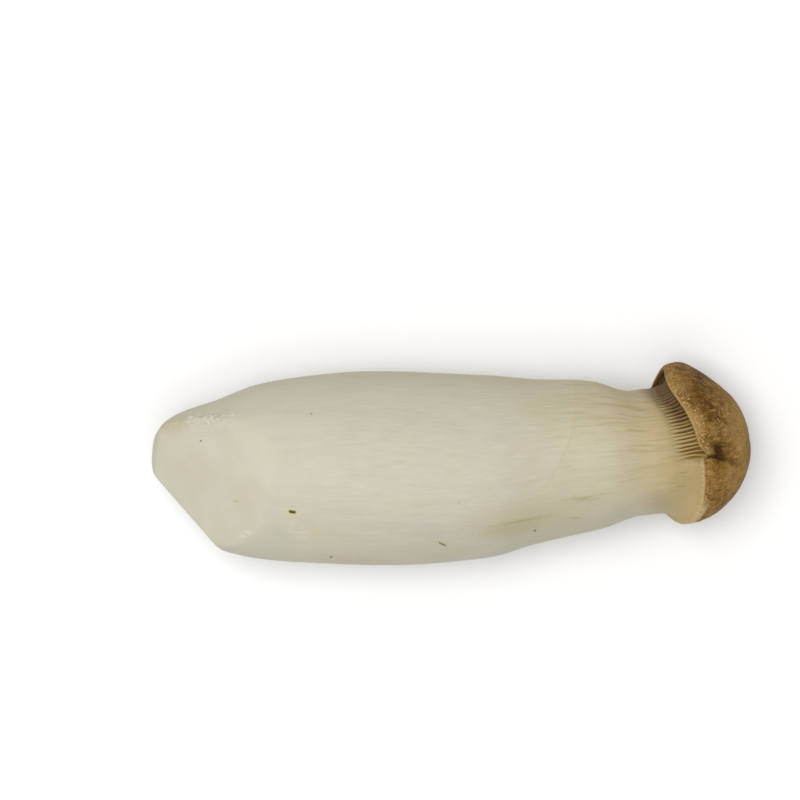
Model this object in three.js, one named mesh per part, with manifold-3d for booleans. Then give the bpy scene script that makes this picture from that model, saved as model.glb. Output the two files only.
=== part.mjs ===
// A king oyster mushroom lying on its side, as cut and trimmed for sale. It grew as one piece, so it is
// one solid: a thick white stem with a trimmed base, which swells at the belly, narrows at the neck and
// flares into a small domed cap. Gills run down from under the cap's rolled margin onto the neck.
// Millimetres, +Z up, X along the stem from the base to the cap. It rests at Z 0 on a flat spot under
// the belly and on the low side of the cap.
import * as THREE from "three";
import { mergeVertices } from "three/addons/utils/BufferGeometryUtils.js";
import Module from "manifold-3d";

const wasm = await Module();
wasm.setup();

const degrees = Math.PI / 180;

// Driving dimensions. X is measured from the trimmed base here, and the finished body is centred at the end.
const bodyLength = 165; // trimmed base to crown
const bellyWidth = 53.3; // widest part of the stem, across
const flatness = 0.93; // height of the stem's section as a share of its width
const neckShare = 0.645; // the neck's width as a share of the belly's
const capRadius = 21.8; // widest part of the cap
const capHeight = 20.8; // margin to crown, along the cap's own axis
const capDroop = 14.4 * degrees; // how far the cap's axis points below the horizontal
const capYaw = 8 * degrees; // how far it turns to the side
const capCentre = new THREE.Vector3(144, 5, 21.45); // middle of the margin's plane
const neckSetback = 11; // from the neck's last plain ring to the margin's plane
const gillPitch = 1.25; // middle to middle, round the neck
const gillThickness = 0.8;
const gillDepth = 2.2;
const gillLean = 0.1; // how much wider a gill is at its foot, on each side
const marginRoll = 1.3; // radius of the rolled margin

// Resolution
const stemSides = 48;
const stemRings = 17;
const baseRings = 6;
const gillRows = 9;
const capSides = 96;
const marginRings = 4;
const domeRings = 9;

const halfWidest = bellyWidth / 2;
const neckRadius = neckShare * halfWidest;
const smooth = (low, high, x) => THREE.MathUtils.smoothstep(x, low, high);
const mix = THREE.MathUtils.lerp;

// The turn from one angle to another, from minus to plus half a turn
const turnTo = (angle, middle) => Math.atan2(Math.sin(angle - middle), Math.cos(angle - middle));

const bump = (angle, { middle, width }) => Math.exp(-((turnTo(angle, middle) / width) ** 2));

// Directions: along a ring's axis, across it to the side, and up. Angle 0 is the side, and a quarter turn
// is the top.
function frameAlong(axis) {
  const side = new THREE.Vector3(0, 0, 1).cross(axis).normalize();
  const up = new THREE.Vector3().crossVectors(axis, side);
  return { axis, side, up };
}

function outward({ side, up }, angle) {
  return side.clone().multiplyScalar(Math.cos(angle)).addScaledVector(up, Math.sin(angle));
}

const stemAxis = new THREE.Vector3(1, 0, 0);
const capAxis = new THREE.Vector3(
  Math.cos(capDroop) * Math.cos(capYaw),
  Math.cos(capDroop) * Math.sin(capYaw),
  -Math.sin(capDroop),
);
const capFrame = frameAlong(capAxis);
const neckCentre = capCentre.clone().addScaledVector(capAxis, -neckSetback);

// Stem, as grown, before its base was trimmed
const grownBase = { end: -3, rounding: 26 }; // where it would end, and the length over which it rounds off
const neckTurn = 0.68 * bodyLength; // where the rings start to turn towards the cap's axis
const stemStations = [
  // place as a share of the length, half width as a share of the widest, drift to the side, middle's height
  [0, 0.765, -2.4, 24.7],
  [0.105, 0.768, -2.85, 24.7],
  [0.178, 0.886, -1.8, 24.6],
  [0.3, 0.972, -0.95, 24.4],
  [0.41, 1, -1.05, 24.25],
  [0.533, 0.965, -0.95, 24],
  [0.5775, 0.938, -0.6, 23.95],
  [0.633, 0.867, 0.6, 23.9],
  [0.744, 0.761, 2.7, 24.3],
  [neckCentre.x / bodyLength, neckShare, neckCentre.y - 0.4, neckCentre.z],
];
const stemCurve = new THREE.CubicInterpolant(
  stemStations.map(([share]) => share * bodyLength),
  stemStations.flatMap(([, width, drift, height]) => [width * halfWidest, drift, height]),
  3,
  new Float64Array(3),
);

// The stem isn't quite round: two and three soft swellings wind along it.
const swelling = (x, angle) =>
  1 + 0.012 * Math.sin(2 * angle + 0.05 * x) + 0.008 * Math.sin(3 * angle - 0.07 * x + 1);

function stemPoint(x, angle) {
  const [width, drift, height] = stemCurve.evaluate(Math.max(x, 0));
  const axis = stemAxis.clone().lerp(capAxis, smooth(neckTurn, neckCentre.x, x)).normalize();
  const { side, up } = frameAlong(axis);
  const left = 1 - Math.min(1, (x - grownBase.end) / grownBase.rounding);
  const rounding = Math.sqrt(Math.max(0, 1 - left * left));
  const reach = width * rounding * swelling(x, angle);
  return new THREE.Vector3(x, drift, height)
    .addScaledVector(side, reach * Math.cos(angle))
    .addScaledVector(up, reach * flatness * Math.sin(angle));
}

// Cap margin: it hangs lower at a lobe, stands back on both sides of that, spreads at the shoulder, and is
// pinched in at a notch
const lobe = { middle: 36 * degrees, width: 26 * degrees, drop: 2.9 };
const nearSide = { middle: 112 * degrees, width: 48 * degrees, rise: 1.7 };
const farSide = { middle: -25 * degrees, width: 38 * degrees, rise: 2.6 };
const shoulder = { middle: 5 * degrees, width: 35 * degrees, spread: 0.5 };
const notch = { middle: 97 * degrees, width: 4.5 * degrees, rise: 1.1, depth: 0.7 };
const marginWave = 0.35;
const marginOval = 0.012;

const marginHeight = (angle) =>
  notch.rise * bump(angle, notch) +
  nearSide.rise * bump(angle, nearSide) +
  farSide.rise * bump(angle, farSide) -
  lobe.drop * bump(angle, lobe) +
  marginWave * Math.sin(3 * angle + 0.6);

const marginRadius = (angle) =>
  capRadius * (1 + marginOval * Math.cos(2 * angle - 0.5)) +
  shoulder.spread * bump(angle, shoulder) -
  notch.depth * bump(angle, notch);

// Soft hollows and swellings of the dome. The dimple carries the notch on up the cap.
const domeSwellings = {
  dimple: { middle: 97 * degrees, width: 9 * degrees, rise: 0.2, length: 0.16, out: -1.5, lift: -0.5 },
  shoulder: { middle: 5 * degrees, width: 35 * degrees, rise: 0.14, length: 0.11, out: 0.7, lift: 0 },
  farSlope: { middle: 8 * degrees, width: 45 * degrees, rise: 0.5, length: 0.2, out: -1, lift: 0 },
};

// 1 where the margin stands over open gills, 0 on the side where the neck flares straight into it
const plainSide = { middle: 152 * degrees, from: 60 * degrees, to: 44 * degrees };
const gillSide = (angle) => smooth(plainSide.to, plainSide.from, Math.abs(turnTo(angle, plainSide.middle)));

function marginPoint(angle, roll) {
  const reach = marginRadius(angle) + marginRoll * (Math.cos(roll) - 1);
  return capCentre
    .clone()
    .addScaledVector(outward(capFrame, angle), reach)
    .addScaledVector(capAxis, marginHeight(angle) + marginRoll * Math.sin(roll));
}

// Where the underside meets the roll: far round it over the gills, at its back where the neck flares into it
const innerRoll = (angle) => mix(285, 160, gillSide(angle)) * degrees;

// Powers that shape the dome from a half ball
const domeRound = { reach: 0.92, height: 1.04, marginFade: 1.3 };

function domePoint(angle, rise) {
  const swing = (rise * Math.PI) / 2;
  let reach = marginRadius(angle) * Math.cos(swing) ** domeRound.reach;
  let height =
    marginHeight(angle) * (1 - Math.sin(swing)) ** domeRound.marginFade +
    capHeight * Math.sin(swing) ** domeRound.height;
  for (const swelling of Object.values(domeSwellings)) {
    const amount = bump(angle, swelling) * Math.exp(-(((rise - swelling.rise) / swelling.length) ** 2));
    reach += swelling.out * amount;
    height += swelling.lift * amount;
  }
  return capCentre
    .clone()
    .addScaledVector(outward(capFrame, angle), Math.max(reach, 0))
    .addScaledVector(capAxis, height);
}

// Underside: from the neck out to the margin, a curve for each angle, with valleys sunk between the gills
const flare = { leavePlain: 0.5, leaveGills: 0.62, arrive: 0.3, arriveLean: 0.42 };
const sinkTilt = { neck: 15 * degrees, margin: 75 * degrees }; // from straight in, towards the cap

function undersidePoint(angle, share, sink) {
  const start = stemPoint(neckCentre.x, angle);
  const end = marginPoint(angle, innerRoll(angle));
  const out = outward(capFrame, angle);
  const span = start.distanceTo(end);
  const arrival = out.clone().addScaledVector(capAxis, flare.arriveLean * gillSide(angle)).normalize();
  const leave = mix(flare.leavePlain, flare.leaveGills, gillSide(angle));
  const curve = new THREE.CubicBezierCurve3(
    start,
    start.clone().addScaledVector(capAxis, leave * span),
    end.clone().addScaledVector(arrival, -flare.arrive * span),
    end,
  );
  const tilt = mix(sinkTilt.neck, sinkTilt.margin, share);
  return curve
    .getPoint(share)
    .addScaledVector(out, -sink * Math.cos(tilt))
    .addScaledVector(capAxis, sink * Math.sin(tilt));
}

// Each ring is a list of corners { angle, point }, and rings of different counts are stitched by angle.
const evenAngles = (count) => Array.from({ length: count }, (_, i) => (i * 2 * Math.PI) / count);
const ringOf = (angles, place) => angles.map((angle) => ({ angle, point: place(angle) }));

// The corners of the gill rows: four to a gill, at the foot and edge of each wall, and plain steps between
const gillCount = Math.round((2 * Math.PI * neckRadius) / gillPitch);
const gillFade = { from: 0.2, full: 0.65, ending: 0.93 }; // shares of the way out
const leastGill = 0.02;
const gillCorners = evenAngles(gillCount).flatMap((middle) => {
  if (gillSide(middle) < leastGill) return [{ middle, offset: 0, sunk: 0 }];
  const edge = gillThickness / 2;
  const foot = edge + gillLean;
  return [
    { middle, offset: -foot, sunk: 1 },
    { middle, offset: -edge, sunk: 0 },
    { middle, offset: edge, sunk: 0 },
    { middle, offset: foot, sunk: 1 },
  ];
});

function gillRow(share) {
  const fade = smooth(gillFade.from, gillFade.full, share) * (1 - smooth(gillFade.ending, 1, share));
  const radius = mix(neckRadius, capRadius, share);
  return gillCorners.map(({ middle, offset, sunk }) => {
    const angle = middle + offset / radius;
    const sink = sunk * gillDepth * fade * gillSide(middle);
    return { angle, point: undersidePoint(angle, share, sink) };
  });
}

// The rings from the base to the crown, with one corner alone at each end
function mushroomRings() {
  const rings = [ringOf([0], (angle) => stemPoint(grownBase.end, angle))];
  const even = evenAngles(stemSides);
  for (let i = 1; i <= baseRings; i++) {
    const swing = (i / baseRings) * (Math.PI / 2);
    const x = grownBase.end + grownBase.rounding * (1 - Math.cos(swing));
    rings.push(ringOf(even, (angle) => stemPoint(x, angle)));
  }
  for (let i = 1; i <= stemRings; i++) {
    const x = mix(grownBase.end + grownBase.rounding, neckCentre.x, i / stemRings);
    rings.push(ringOf(even, (angle) => stemPoint(x, angle)));
  }
  for (let i = 1; i <= gillRows; i++) rings.push(gillRow(i / gillRows));
  const round = evenAngles(capSides);
  for (let i = 0; i < marginRings; i++) {
    const share = (i + 0.5) / marginRings;
    rings.push(ringOf(round, (angle) => marginPoint(angle, mix(innerRoll(angle), 2 * Math.PI, share))));
  }
  const firstRise = 0.015;
  for (let i = 0; i < domeRings; i++) {
    const rise = mix(firstRise, 1, i / domeRings);
    rings.push(ringOf(round, (angle) => domePoint(angle, rise)));
  }
  rings.push(ringOf([0], (angle) => domePoint(angle, 1)));
  return rings;
}

// Triangles between two rings, stepping along whichever ring is behind
function stitch(a, b, first, second) {
  const alike = a.length === b.length;
  const aSteps = a.length > 1 ? a.length : 0;
  const bSteps = b.length > 1 ? b.length : 0;
  const angleAt = (ring, i) => ring[i % ring.length].angle + (i < ring.length ? 0 : 2 * Math.PI);
  const aLags = (i, j) => (alike ? i <= j : angleAt(a, i + 1) <= angleAt(b, j + 1));
  const faces = [];
  let i = 0;
  let j = 0;
  while (i < aSteps || j < bSteps) {
    const aCorner = first + (i % a.length);
    const bCorner = second + (j % b.length);
    if (j >= bSteps || (i < aSteps && aLags(i, j))) {
      i += 1;
      faces.push(aCorner, first + (i % a.length), bCorner);
    } else {
      j += 1;
      faces.push(aCorner, second + (j % b.length), bCorner);
    }
  }
  return faces;
}

function skinOver(rings) {
  const points = rings.flatMap((ring) => ring.map(({ point }) => point));
  const faces = [];
  let first = 0;
  for (let k = 0; k + 1 < rings.length; k++) {
    const second = first + rings[k].length;
    faces.push(...stitch(rings[k], rings[k + 1], first, second));
    first = second;
  }
  return new THREE.BufferGeometry().setFromPoints(points).setIndex(faces);
}

// Solids
function solidFrom(geometry) {
  const bare = geometry.clone();
  bare.deleteAttribute("normal");
  bare.deleteAttribute("uv");
  const merged = mergeVertices(bare, 1e-4);
  const mesh = new wasm.Mesh({
    numProp: 3,
    vertProperties: new Float32Array(merged.attributes.position.array),
    triVerts: new Uint32Array(merged.index.array),
  });
  return new wasm.Manifold(mesh);
}

function geometryFrom(solid) {
  const { vertProperties, triVerts } = solid.getMesh();
  return new THREE.BufferGeometry()
    .setAttribute("position", new THREE.Float32BufferAttribute(vertProperties, 3))
    .setIndex(new THREE.BufferAttribute(triVerts, 1));
}

// A block whose one face is the cut, through a point and facing the way that the waste lies
function wasteBeyond({ through, facing }) {
  const size = 2 * bodyLength;
  const normal = new THREE.Vector3(...facing).normalize();
  const turn = new THREE.Quaternion().setFromUnitVectors(new THREE.Vector3(0, 0, 1), normal);
  const block = new THREE.BoxGeometry(size, size, size)
    .translate(0, 0, size / 2)
    .applyQuaternion(turn)
    .translate(...through);
  return solidFrom(block);
}

// Knife cuts that trimmed the base, and the flat that it rests on
const knifeCuts = {
  tip: { through: [0.5, 0, 24], facing: [-1, 0.04, 0.05] },
  longSlant: { through: [30.3, -2.3, 46.2], facing: [-0.56, -0.27, 0.785] },
  nearCorner: { through: [10, -13.1, 22], facing: [-0.74, -0.67, 0.03] },
  underneath: { through: [8, 4, 9], facing: [-0.5, 0.32, -0.8] },
};
const restingFlat = { through: [0, 0, 0], facing: [0, 0, -1] };

const grown = solidFrom(skinOver(mushroomRings()));
const trimmed = [...Object.values(knifeCuts), restingFlat].reduce(
  (solid, cut) => solid.subtract(wasteBeyond(cut)),
  grown,
);

const fleshColour = new THREE.Color().setRGB(0.8, 0.76, 0.66, THREE.SRGBColorSpace);
const flesh = new THREE.MeshStandardMaterial({ color: fleshColour, roughness: 0.62, metalness: 0 });

const mushroom = new THREE.Mesh(geometryFrom(trimmed), flesh);
mushroom.name = "mushroom";
mushroom.geometry.computeBoundingBox();
const middle = mushroom.geometry.boundingBox.getCenter(new THREE.Vector3());
mushroom.position.set(-middle.x, -middle.y, 0);

const kingOyster = new THREE.Group();
kingOyster.add(mushroom);
export default kingOyster;
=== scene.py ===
import math

import bmesh
import bpy
import numpy as np
from mathutils import Matrix, Vector, noise


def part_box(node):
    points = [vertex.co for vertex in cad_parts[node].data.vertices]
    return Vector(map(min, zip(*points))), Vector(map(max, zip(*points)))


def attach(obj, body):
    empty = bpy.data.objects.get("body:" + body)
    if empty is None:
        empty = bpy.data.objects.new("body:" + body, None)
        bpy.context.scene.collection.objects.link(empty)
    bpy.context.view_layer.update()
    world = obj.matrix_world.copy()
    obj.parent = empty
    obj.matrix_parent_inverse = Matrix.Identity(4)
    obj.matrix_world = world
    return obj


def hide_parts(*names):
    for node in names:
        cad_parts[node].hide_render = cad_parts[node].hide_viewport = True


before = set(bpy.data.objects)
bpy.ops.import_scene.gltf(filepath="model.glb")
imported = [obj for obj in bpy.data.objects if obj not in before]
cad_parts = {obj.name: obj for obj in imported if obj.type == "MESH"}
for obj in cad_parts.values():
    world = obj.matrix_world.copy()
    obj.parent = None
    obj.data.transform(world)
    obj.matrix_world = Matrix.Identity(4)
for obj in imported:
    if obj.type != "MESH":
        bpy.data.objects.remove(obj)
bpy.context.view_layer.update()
print("frame loaded")

# Sizes are in millimetres. X is measured from the trimmed base until toFrame puts it in the frame's metres.
metresPerMm = 0.001
degrees = math.pi / 180
full = 2 * math.pi

stem = {
    "length": 165,  # trimmed base to crown
    "belly": 53.3,  # widest part, across
    "flatness": 0.93,  # height of the section as a share of its width
    "grownEnd": -3,  # where the untrimmed base would end
    "grownRounding": 26,  # length over which it rounds off
    # place as a share of the length, half width as a share of the widest, drift, height of the middle
    "stations": [
        (0, 0.765, -2.4, 24.7),
        (0.105, 0.768, -2.85, 24.7),
        (0.178, 0.886, -1.8, 24.6),
        (0.3, 0.972, -0.95, 24.4),
        (0.41, 1, -1.05, 24.25),
        (0.533, 0.965, -0.95, 24),
        (0.5775, 0.938, -0.6, 23.95),
        (0.633, 0.867, 0.6, 23.9),
        (0.744, 0.761, 2.7, 24.3),
    ],
    "turnFrom": 0.68,  # share of the length where the rings start to turn towards the cap's axis
    "waves": [(0.012, 2, 0.05, 0), (0.008, 3, -0.07, 1)],  # share of the width, lobes, turn a mm, start
    "lumps": {"height": 0.3, "size": 22, "stretch": 2, "offset": 0},
    "dents": {"height": 0.1, "size": 6, "stretch": 3, "offset": 0},
    "fibres": {"height": 0.07, "size": 1.5, "stretch": 10, "offset": 31},
}
neck = {
    "share": 0.645,  # of the widest part
    "setback": 11,  # from the cap's margin
    "drift": -0.4,
    "ribs": {"height": 0.1, "size": 1.1, "stretch": 14, "offset": 7},
    "ribsAlong": (100, 135),
    "ribsMiddle": 55 * degrees,
    "ribsAround": (-0.6, 0.5),  # cosines of the way round, where they start and are full
}
cap = {
    "radius": 21.8,
    "height": 20.8,
    "droop": 14.4 * degrees,
    "yaw": 8 * degrees,
    "centre": (144, 5, 21.45),
    "roll": {
        "radius": 1.3,
        "plainShare": 0.3,  # of that radius, on the plain side
        "openFrom": 160,  # degrees round the roll where it starts, over the gills and on the plain side
        "plainFrom": 285,
    },
    "oval": {"share": 0.012, "turn": 0.5},
    "wave": {"height": 0.35, "lobes": 3, "turn": 0.6},
    "curve": {"reach": 0.92, "settling": 1.3, "rise": 1.04},  # powers that give the dome its full side
    "lobe": {"middle": 36 * degrees, "width": 26 * degrees, "drop": 2.9},
    "nearSide": {"middle": 112 * degrees, "width": 48 * degrees, "rise": 1.7},
    "farSide": {"middle": -25 * degrees, "width": 38 * degrees, "rise": 2.6},
    "shoulder": {"middle": 5 * degrees, "width": 35 * degrees, "spread": 0.5},
    "notch": {"middle": 97 * degrees, "width": 4.5 * degrees, "rise": 1.1, "depth": 0.7},
    "plainSide": {"middle": 152 * degrees, "from": 60 * degrees, "to": 44 * degrees},
    "plainTint": {"middle": 156 * degrees, "from": 64 * degrees, "to": 48 * degrees},
    "lumps": {"height": 0.28, "size": 9, "stretch": 1, "offset": 57},
    "grain": {"height": 0.07, "size": 1.5, "stretch": 1, "offset": 11},
}
swellings = {  # of the dome: place round it, place up it, and how far out and up
    "dimple": {
        "middle": cap["notch"]["middle"], "width": 9 * degrees,
        "rise": 0.2, "length": 0.16, "out": -1.5, "lift": -0.5,
    },
    "shoulder": {
        "middle": cap["shoulder"]["middle"], "width": cap["shoulder"]["width"],
        "rise": 0.14, "length": 0.11, "out": 0.7, "lift": 0,
    },
    "farSlope": {
        "middle": 8 * degrees, "width": 45 * degrees,
        "rise": 0.5, "length": 0.2, "out": -1, "lift": 0,
    },
}

# How the neck swings out to the margin, and how that is eased into the cap on the plain side
flare = {"leave": 0.5, "leaveOpen": 0.12, "arrive": 0.3, "lean": 0.42}
easing = {"from": 0.6, "to": 0.1, "share": 0.5, "rounds": 70}

# The far side's overhanging rim, and the hollow behind it, which is painted in shade
overhang = {
    "middle": 10 * degrees,
    "around": (38 * degrees, 78 * degrees),
    "farEnd": (30 * degrees, 60 * degrees),
    "farShift": 0.18,
    "share": (0.15, 0.65),
}
gills = {
    "depth": 1.3,
    "fadeFrom": 0.18,
    "fadeFull": 0.6,
    "ending": 0.93,
    "lean": (15, 60),  # degrees that a gap leans back at the neck, and how many more at the margin
    "pitch": 1.06,  # middle to middle, round the neck
    "stray": 0.13,  # how far a gill lies off its place, in pitches
    "bow": 0.05,  # how far it waves, in pitches
    "bows": 3,  # half waves along it
    "bowTurn": 9,  # how fast the waves change from gill to gill
    "thickness": 0.78,
    "thinnest": 0.78,  # as a share of the thickness
    "thickest": 1.15,
    "boxiness": 0.5,  # a power: 1 for an oval section, less for a boxy one
    "thinStart": 0.4,  # thickness where it starts, as a share
    "crestShare": 0.85,  # thickness at the crest, as a share
    "rootWider": 0.35,
    "sunk": 0.3,  # depth of the crest where it starts, and on the plain side
    "rootBelow": 0.5,  # how far the root goes below the gap beside it
    "leastHeight": 0.35,
    "leastOpen": 0.03,  # where the side is less open than this there are none
    "startFrom": 0.04,
    "startTo": 0.2,
    "tip": 0.985,
    "shortShare": 0.25,  # how many of the gaps have a short one
    "shortFrom": 0.66,
    "shortStray": (-0.06, 0.12),
    "shortThinner": 0.45,
    "shortSunk": 0.5,  # depth of a short one's crest where it starts, as a share of the gap's
    "seed": 7,
}
knife = {  # the cuts that trimmed the base, and how wide their edges are rounded
    "tip": {"through": (0.2, 0, 24), "facing": (-1, 0.04, 0.05), "edge": 0.4},
    "tipFar": {"through": (1.3, 8.0, 24), "facing": (-0.9, 0.43, 0), "edge": 1.4},
    "tipNear": {"through": (0.8, -2.8, 24), "facing": (-0.9, -0.43, 0), "edge": 1.2},
    "longSlant": {"through": (30.3, -2.3, 46.2), "facing": (-0.56, -0.27, 0.785), "edge": 0.9},
    "farSlant": {"through": (10.8, 12, 34.4), "facing": (-0.465, 0.037, 0.884), "edge": 2.5},
    "tipBevel": {"through": (1.8, 2.1, 27.4), "facing": (-0.923, -0.04, 0.385), "edge": 0.3},
    "nearCorner": {"through": (10, -13.1, 22), "facing": (-0.74, -0.67, 0.03), "edge": 0.6},
    "underneath": {"through": (8, 4, 9), "facing": (-0.5, 0.32, -0.8), "edge": 1.2},
}
mesh = {
    "around": 384,
    "baseRows": 44,
    "stemRows": 92,
    "underRows": 44,
    "marginRows": 14,
    "domeRows": 56,
    "domeFrom": 0.015,  # first row of the dome, as a share of the way up
    "weld": 0.002,
}

halfWidest = stem["belly"] / 2
neckRadius = neck["share"] * halfWidest
roll = cap["roll"]


# Ways to blend and bend
def smooth(low, high, x):
    t = np.clip((x - low) / (high - low), 0, 1)
    return t * t * (3 - 2 * t)


def softLeast(a, b, width):  # the smaller of two, with the corner between them rounded
    h = np.maximum(width - np.abs(a - b), 0) / width
    return np.minimum(a, b) - h * h * width / 4


def turnTo(angle, middle):
    return np.arctan2(np.sin(angle - middle), np.cos(angle - middle))


def bump(angle, where):
    return np.exp(-((turnTo(angle, where["middle"]) / where["width"]) ** 2))


def unit(v):
    return v / np.maximum(np.linalg.norm(v, axis=-1, keepdims=True), 1e-9)


def frameAlong(axis):
    side = unit(np.cross((0.0, 0.0, 1.0), axis))
    return side, np.cross(axis, side)


# Form: the same one as the solid's
stemAxis = np.array((1.0, 0.0, 0.0))
capAxis = np.array((
    math.cos(cap["droop"]) * math.cos(cap["yaw"]),
    math.cos(cap["droop"]) * math.sin(cap["yaw"]),
    -math.sin(cap["droop"]),
))
capSide, capUp = frameAlong(capAxis)
capCentre = np.array(cap["centre"], float)
neckCentre = capCentre - capAxis * neck["setback"]
stations = [
    (share * stem["length"], width * halfWidest, drift, height)
    for share, width, drift, height in stem["stations"]
]
stations.append((neckCentre[0], neckRadius, neckCentre[1] + neck["drift"], neckCentre[2]))
stations = np.array(stations)


def alongStem(x):  # half width, drift and height of the middle, on a smooth curve through the stations
    places = stations[:, 0]
    last = len(places) - 1
    i = np.clip(np.searchsorted(places, x, side="right") - 1, 0, last - 1)
    t0, t1 = places[i], places[i + 1]
    before = np.where(i > 0, np.maximum(i - 1, 0), i + 1)
    after = np.where(i + 2 <= last, np.minimum(i + 2, last), i)
    tBefore = np.where(i > 0, places[np.maximum(i - 1, 0)], 2 * t0 - t1)
    tAfter = np.where(i + 2 <= last, places[np.minimum(i + 2, last)], 2 * t1 - t0)
    wBefore = (t1 - t0) / 2 / (t0 - tBefore)
    wAfter = (t1 - t0) / 2 / (tAfter - t1)
    p = (x - t0) / (t1 - t0)
    weights = (
        (before, -wBefore * p**3 + 2 * wBefore * p**2 - wBefore * p),
        (i, (1 + wBefore) * p**3 - (1.5 + 2 * wBefore) * p**2 + (wBefore - 0.5) * p + 1),
        (i + 1, -(1 + wAfter) * p**3 + (1.5 + wAfter) * p**2 + 0.5 * p),
        (after, wAfter * p**3 - wAfter * p**2),
    )
    return [sum(weight * stations[at, column] for at, weight in weights) for column in (1, 2, 3)]


def stemPoint(x, angle):
    width, drift, height = alongStem(np.maximum(x, 0))
    turn = smooth(stem["turnFrom"] * stem["length"], neckCentre[0], x)[..., None]
    side, up = frameAlong(unit(stemAxis * (1 - turn) + capAxis * turn))
    left = 1 - np.minimum(1, (x - stem["grownEnd"]) / stem["grownRounding"])
    swelling = 1
    for share, lobes, twist, start in stem["waves"]:
        swelling = swelling + share * np.sin(lobes * angle + twist * x + start)
    reach = width * np.sqrt(np.maximum(0, 1 - left * left)) * swelling
    middle = np.stack((x, drift, height), -1)
    across = side * (reach * np.cos(angle))[..., None]
    return middle + across + up * (reach * stem["flatness"] * np.sin(angle))[..., None]


def grownPlace(share):  # how far along the untrimmed base a share of its rounding lies
    return stem["grownEnd"] + stem["grownRounding"] * (1 - np.cos(share * math.pi / 2))


def outward(angle):
    return capSide * np.cos(angle)[..., None] + capUp * np.sin(angle)[..., None]


def marginHeight(angle):
    risen = sum(cap[place]["rise"] * bump(angle, cap[place]) for place in ("notch", "nearSide", "farSide"))
    wave = cap["wave"]["height"] * np.sin(cap["wave"]["lobes"] * angle + cap["wave"]["turn"])
    return risen - cap["lobe"]["drop"] * bump(angle, cap["lobe"]) + wave


def marginRadius(angle):
    oval = 1 + cap["oval"]["share"] * np.cos(2 * angle - cap["oval"]["turn"])
    spread = cap["shoulder"]["spread"] * bump(angle, cap["shoulder"])
    return cap["radius"] * oval + spread - cap["notch"]["depth"] * bump(angle, cap["notch"])


def gillSide(angle):  # 1 where the margin stands over open gills, 0 where the neck flares straight into it
    plain = cap["plainSide"]
    return smooth(plain["to"], plain["from"], np.abs(turnTo(angle, plain["middle"])))


def innerRoll(angle):
    return (roll["plainFrom"] + (roll["openFrom"] - roll["plainFrom"]) * gillSide(angle)) * degrees


def marginPoint(angle, turned):
    size = roll["radius"] * (roll["plainShare"] + (1 - roll["plainShare"]) * gillSide(angle))
    reach = marginRadius(angle) + size * (np.cos(turned) - 1)
    height = marginHeight(angle) + size * np.sin(turned)
    return capCentre + outward(angle) * reach[..., None] + capAxis * height[..., None]


def domePoint(angle, rise):
    swing = rise * math.pi / 2
    curve = cap["curve"]
    reach = marginRadius(angle) * np.maximum(np.cos(swing), 0) ** curve["reach"]
    height = marginHeight(angle) * (1 - np.sin(swing)) ** curve["settling"]
    height = height + cap["height"] * np.sin(swing) ** curve["rise"]
    for swelling in swellings.values():
        amount = bump(angle, swelling) * np.exp(-(((rise - swelling["rise"]) / swelling["length"]) ** 2))
        reach = reach + swelling["out"] * amount
        height = height + swelling["lift"] * amount
    return capCentre + outward(angle) * np.maximum(reach, 0)[..., None] + capAxis * height[..., None]


def sinkWay(angle, share):  # the way down between two gills
    atNeck, more = gills["lean"]
    tilt = ((atNeck + more * share) * degrees)[..., None]
    return capAxis * np.sin(tilt) - outward(angle) * np.cos(tilt)


def undersidePoint(angle, share):
    start = stemPoint(np.full_like(angle, neckCentre[0]), angle)
    end = marginPoint(angle, innerRoll(angle))
    span = np.linalg.norm(end - start, axis=-1)[..., None]
    arrival = unit(outward(angle) + capAxis * (flare["lean"] * gillSide(angle))[..., None])
    leave = (flare["leave"] + flare["leaveOpen"] * gillSide(angle))[..., None]
    a, b, c, d = start, start + capAxis * leave * span, end - arrival * flare["arrive"] * span, end
    t = share[..., None]
    return a * (1 - t) ** 3 + 3 * b * t * (1 - t) ** 2 + 3 * c * t**2 * (1 - t) + d * t**3


# Sets where shade is painted in the hollow behind the overhanging rim
def recessShade(angle, share):  # how far a point lies in the hollow behind the far side's overhanging rim
    farEnd = 1 - smooth(*overhang["farEnd"], np.abs(turnTo(angle, 0)))
    across = 1 - smooth(*overhang["around"], np.abs(turnTo(angle, overhang["middle"])))
    return smooth(*overhang["share"], share + overhang["farShift"] * farEnd) * across


def valley(angle, share):
    opening = smooth(gills["fadeFrom"], gills["fadeFull"], share)
    closing = 1 - smooth(gills["ending"], 1, share)
    return gills["depth"] * opening * closing * gillSide(angle)


# The trimmed base: each point is drawn in towards the heart of the base until it meets the cuts
heart = np.array((34.0, -2.0, 24.0))
grazing = 0.02  # a cut that a line meets at a flatter angle than this is passed by
outOfReach = 1e3


def trimmed(points):
    way = points - heart
    distance = np.linalg.norm(way, axis=-1)
    way = way / distance[..., None]
    kept = distance
    for cut in knife.values():
        facing = unit(np.array(cut["facing"], float))
        toCut = float(facing @ (np.array(cut["through"], float) - heart))
        leaning = way @ facing
        reach = np.where(leaning > grazing, toCut / np.maximum(leaning, grazing), outOfReach)
        kept = softLeast(kept, reach, cut["edge"])
    return heart + way * kept[..., None], distance - kept


# Places in the frame
low, high = (np.array(corner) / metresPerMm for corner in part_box("mushroom"))
shift = np.array((82.517, 0.327, 0.0))  # middle of the whole body, measured from the trimmed base
inset = 0.004  # how far inside the solid's box everything stays


def toFrame(points):
    inside = np.clip(points - shift, low + inset, high - inset)
    inside[..., 2] = np.clip(points[..., 2], 0.0, high[2] - inset)
    return inside * metresPerMm


askew = Matrix.Rotation(0.6, 3, "X") @ Matrix.Rotation(0.8, 3, "Y") @ Matrix.Rotation(0.7, 3, "Z")


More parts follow.
